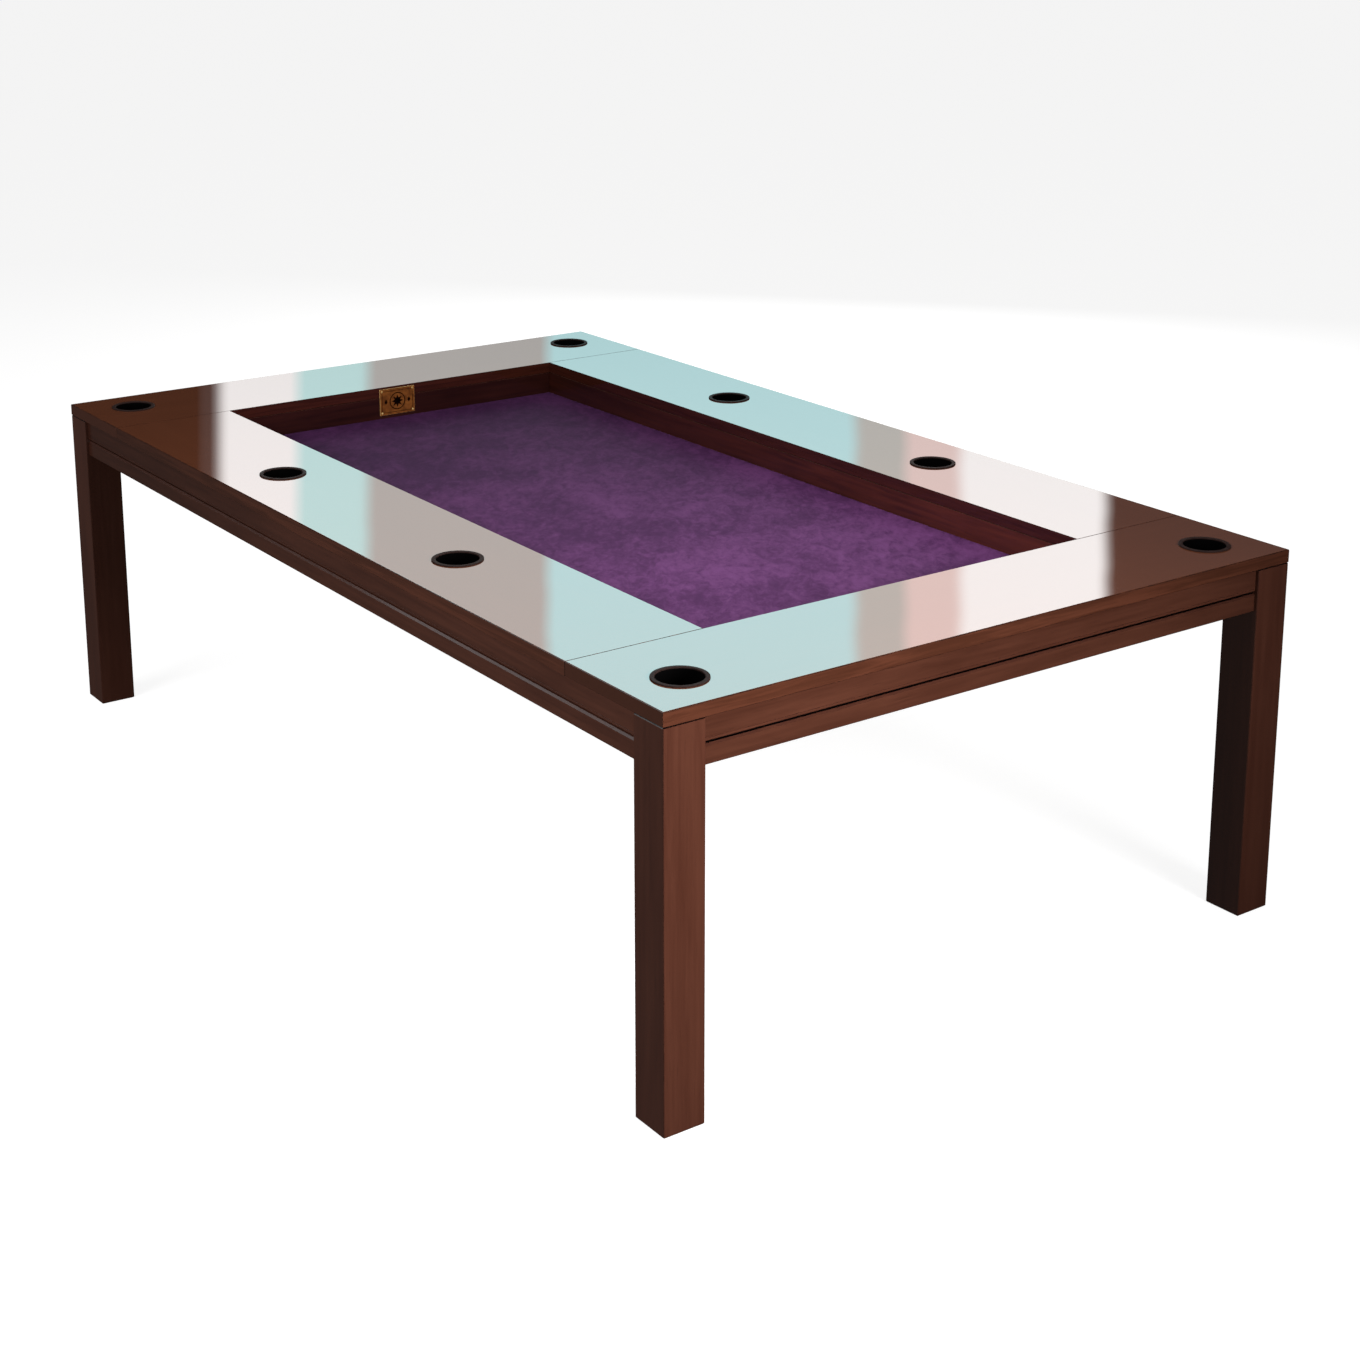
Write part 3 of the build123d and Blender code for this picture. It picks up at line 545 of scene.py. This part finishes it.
def rectangle(y, z, half_w, half_h):
    """A rectangle's corners."""
    signs = ((-1, -1), (-1, 1), (1, 1), (1, -1))
    return [(y + across * half_w, z + up * half_h) for across, up in signs]


def make_ornament():
    """A plain motif on the plaque: a star in a ring between two lozenges, inside a border line."""
    low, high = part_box("plaque")
    y, z = (low.y + high.y) / 2, (low.z + high.z) / 2
    bm = bmesh.new()
    raised(bm, circle(y, z, RING[0]), circle(y, z, RING[1]))
    raised(bm, star(y, z, *STAR, STAR_POINTS))
    for side in (-1, 1):
        raised(bm, star(y + side * LOZENGE_OUT, z, *LOZENGE, 2))
    outer, inner = FRAME_LINE
    raised(bm, rectangle(y, z, *outer), rectangle(y, z, *inner))
    bmesh.ops.recalc_face_normals(bm, faces=bm.faces)
    ornament = mesh_object("plaque_ornament", bm)
    ornament.location.x = high.x
    dress(ornament, brass("brass_patina", (0.020, 0.009, 0.005), (0.055, 0.024, 0.010), roughness=0.42))
    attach(ornament, "table")
    return ornament


# ======== stage ========

# A card behind the table, seen only as reflections in the lacquer. Each band is given by its right edge, in
# metres across for each metre ahead of the camera, and its colour. The first starts at CARD_LEFT.
CARD_LEFT = -0.2103
CARD_BANDS = (
    (-0.2000, (0.030, 0.030, 0.032)),
    (-0.1664, (0.92, 0.92, 0.92)),
    (-0.1360, (0.50, 0.78, 0.78)),
    (-0.0578, (0.42, 0.44, 0.43)),
    (0.0760, (0.46, 0.77, 0.80)),
    (0.0977, (0.46, 0.49, 0.47)),
    (0.1216, (0.74, 0.60, 0.58)),
    (0.1848, (0.95, 0.96, 0.96)),
    (0.3138, (0.022, 0.022, 0.024)),
)
CARD_SOFT = 0.006  # width of the blend between two bands, in the same measure
CARD_FROM_CAMERA = 9.3
CARD_Z = (1.0, 3.9)
CARD_ROWS = 12
CARD_STRENGTH = (1.8, 6.7)  # at the card's foot and head
WHITE = (1.0, 1.0, 1.0)


def aim(obj, target):
    """Points an object's -Z axis at a place."""
    obj.rotation_euler = (Vector(target) - obj.location).to_track_quat("-Z", "Y").to_euler()


def make_camera():
    """The camera, with the place, direction and lens given at the top."""
    data = bpy.data.cameras.new("camera")
    data.sensor_width = 36.0
    data.lens = CAMERA_LENS
    data.shift_y = CAMERA_SHIFT_Y
    camera = link(bpy.data.objects.new("camera", data))
    camera.location = CAMERA_AT
    ahead = FORWARD * math.cos(CAMERA_ELEVATION)
    ahead.z = -math.sin(CAMERA_ELEVATION)
    camera.rotation_euler = ahead.to_track_quat("-Z", "Y").to_euler()
    bpy.context.scene.camera = camera


def emission(name, strength):
    """A plain emission material, with its node tree and its emission node."""
    material = bpy.data.materials.new(name)
    material.use_nodes = True
    tree = material.node_tree
    tree.nodes.clear()
    glow = tree.nodes.new("ShaderNodeEmission")
    glow.inputs["Strength"].default_value = strength
    output = tree.nodes.new("ShaderNodeOutputMaterial")
    tree.links.new(glow.outputs[0], output.inputs["Surface"])
    return material, tree, glow


def hide_from_all_but_gloss(obj):
    """Leaves an object visible in reflections only."""
    obj.visible_camera = False
    obj.visible_diffuse = False
    obj.visible_shadow = False
    obj.visible_transmission = False


def card_mesh(name, left, right, place):
    """An upright card between two slopes from the camera. It fans out with height, so that the mirror images
    of its edges stand upright on the border."""
    bm = bmesh.new()
    uv = bm.loops.layers.uv.new("UVMap")
    rows = []
    for i in range(CARD_ROWS + 1):
        share = i / CARD_ROWS
        z = CARD_Z[0] + (CARD_Z[1] - CARD_Z[0]) * share
        ends = ((0.0, left), (1.0, right))
        rows.append([(bm.verts.new(place(slope, z)), (u, share)) for u, slope in ends])
    for lower, upper in zip(rows, rows[1:]):
        corners = (lower[0], lower[1], upper[1], upper[0])
        face = bm.faces.new([vert for vert, _ in corners])
        for loop, (_, where) in zip(face.loops, corners):
            loop[uv].uv = where
    return mesh_object(name, bm)


def ramp_stops():
    """Places across the card and their colours, black at both ends."""
    width = CARD_BANDS[-1][0] - CARD_LEFT
    stops = [(0.0, (0.0, 0.0, 0.0))]
    start = CARD_LEFT
    for end, colour in CARD_BANDS:
        stops.append(((start + CARD_SOFT / 2 - CARD_LEFT) / width, colour))
        stops.append(((end - CARD_SOFT / 2 - CARD_LEFT) / width, colour))
        start = end
    return [*stops, (1.0, (0.0, 0.0, 0.0))]


def reflected_cards():
    """The banded card behind the table whose reflection lies on the border."""
    material, tree, glow = emission("card_row", 1.0)
    coords = tree.nodes.new("ShaderNodeUVMap")
    parts = tree.nodes.new("ShaderNodeSeparateXYZ")
    ramp = tree.nodes.new("ShaderNodeValToRGB")
    tree.links.new(coords.outputs[0], parts.inputs[0])
    tree.links.new(parts.outputs[0], ramp.inputs[0])
    tree.links.new(ramp.outputs[0], glow.inputs["Color"])
    elements = ramp.color_ramp.elements
    stops = ramp_stops()
    for element, (position, colour) in zip(elements, (stops[0], stops[-1])):
        element.position, element.color = position, (*colour, 1.0)
    for position, colour in stops[1:-1]:
        elements.new(position).color = (*colour, 1.0)
    strength = tree.nodes.new("ShaderNodeMapRange")
    strength.inputs["To Min"].default_value, strength.inputs["To Max"].default_value = CARD_STRENGTH
    tree.links.new(parts.outputs[1], strength.inputs["Value"])
    tree.links.new(strength.outputs[0], glow.inputs["Strength"])
    right = Vector((FORWARD.y, -FORWARD.x, 0.0))
    border_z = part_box("top_side_board_front")[1].z
    plan = Vector((CAMERA_AT[0], CAMERA_AT[1], 0.0)) + FORWARD * CARD_FROM_CAMERA

    def place(slope, z):
        mirrored_drop = CAMERA_AT[2] + z - 2 * border_z
        ahead = CARD_FROM_CAMERA * math.cos(CAMERA_ELEVATION)
        depth = ahead + mirrored_drop * math.sin(CAMERA_ELEVATION)
        return plan + right * (slope * depth) + Vector((0.0, 0.0, z))

    cards = card_mesh("card_row", CARD_LEFT, CARD_BANDS[-1][0], place)
    dress(cards, material)
    hide_from_all_but_gloss(cards)


def gloss_panel(name, place, target, size, strength):
    """A plain bright panel aimed at a place and seen only in reflections."""
    bm = bmesh.new()
    bmesh.ops.create_grid(bm, x_segments=1, y_segments=1, size=0.5)
    panel = mesh_object(name, bm)
    panel.scale = (*size, 1.0)
    panel.location = place
    aim(panel, target)
    material, _, glow = emission(name, strength)
    glow.inputs["Color"].default_value = (0.93, 0.96, 1.0, 1.0)
    dress(panel, material)
    hide_from_all_but_gloss(panel)


def area_light(name, place, target, size, energy, spread=180.0):
    """A soft rectangular light aimed at a place and not seen in reflections. Spread is its beam's angle in
    degrees."""
    data = bpy.data.lights.new(name, "AREA")
    data.shape = "RECTANGLE"
    data.size, data.size_y = size
    data.energy = energy
    data.spread = math.radians(spread)
    light = link(bpy.data.objects.new(name, data))
    light.location = place
    aim(light, target)
    light.visible_camera = False
    light.visible_glossy = False


def make_floor():
    """A pale floor, wide enough to fill every view."""
    bm = bmesh.new()
    bmesh.ops.create_grid(bm, x_segments=8, y_segments=8, size=60.0)
    floor = mesh_object("floor", bm)
    s = Shader(
        "floor", Roughness=0.9, Base_Color=(0.45, 0.45, 0.45, 1.0), Specular_IOR_Level=0.0,
        Emission_Color=(1.0, 1.0, 1.0, 1.0), Emission_Strength=0.84,
    )
    dress(floor, s.material)
    floor.visible_glossy = False
    floor.visible_diffuse = False


def make_world():
    """Pale to look at, a soft fill from above on matt surfaces, and dark in reflections but for a grey part
    beyond the table's front."""
    world = bpy.data.worlds.new("studio")
    bpy.context.scene.world = world
    world.use_nodes = True
    world.cycles.sampling_method = "NONE"
    tree = world.node_tree
    tree.nodes.clear()
    new, join = tree.nodes.new, tree.links.new
    path = new("ShaderNodeLightPath")
    direction = new("ShaderNodeSeparateXYZ")
    join(new("ShaderNodeTexCoord").outputs["Generated"], direction.inputs[0])
    strengths = {}
    ramps = (("fill", 2, -0.25, 0.05, 0.05, 0.14), ("gloss", 1, -0.15, -0.6, 0.010, 0.09))
    for name, axis, start, end, low, high in ramps:
        ramp = new("ShaderNodeMapRange")
        for key, value in (("From Min", start), ("From Max", end), ("To Min", low), ("To Max", high)):
            ramp.inputs[key].default_value = value
        join(direction.outputs[axis], ramp.inputs["Value"])
        strengths[name] = ramp.outputs[0]
    shades = {}
    for name, colour in (("pale", WHITE), ("fill", (1.0, 0.98, 0.97)), ("gloss", WHITE)):
        shades[name] = new("ShaderNodeBackground")
        shades[name].inputs["Color"].default_value = (*colour, 1.0)
        if name in strengths:
            join(strengths[name], shades[name].inputs["Strength"])
    glossy = new("ShaderNodeMixShader")
    join(path.outputs["Is Glossy Ray"], glossy.inputs[0])
    join(shades["fill"].outputs[0], glossy.inputs[1])
    join(shades["gloss"].outputs[0], glossy.inputs[2])
    seen = new("ShaderNodeMixShader")
    join(path.outputs["Is Camera Ray"], seen.inputs[0])
    join(glossy.outputs[0], seen.inputs[1])
    join(shades["pale"].outputs[0], seen.inputs[2])
    join(seen.outputs[0], new("ShaderNodeOutputWorld").inputs["Surface"])


def make_stage():
    """Floor, world, card, lights, panels and camera."""
    make_camera()
    make_floor()
    make_world()
    reflected_cards()
    area_light("key", (3.5, 0.2, 1.5), (1.27, -0.85, 0.68), (1.2, 1.2), 38.0, spread=86.0)
    area_light("long_side", (0.1, -4.2, 2.7), (0.3, -0.75, 0.6), (2.8, 1.0), 112.0)
    area_light("overhead", (0.5, 0.1, 3.2), (0.4, 0.0, 0.7), (2.4, 2.0), 28.0)
    area_light("back", (-3.6, 3.8, 2.0), (-0.6, 0.4, 0.5), (2.4, 1.4), 75.0)
    gloss_panel("long_side_panel", (-2.1, -2.4, 3.1), (0.9, -0.75, 0.7), (2.0, 1.8), 1.7)
    gloss_panel("front_panel", (1.2, -6.2, 2.5), (0.0, 0.0, 1.4), (2.6, 2.6), 1.5)
    gloss_panel("right_panel", (5.6, -2.4, 2.5), (0.0, 0.0, 1.4), (2.2, 2.6), 1.5)
    scene = bpy.context.scene
    scene.view_settings.view_transform = "Standard"
    scene.view_settings.look = "None"


finish_nodes()
make_cloth()
make_ornament()
make_stage()
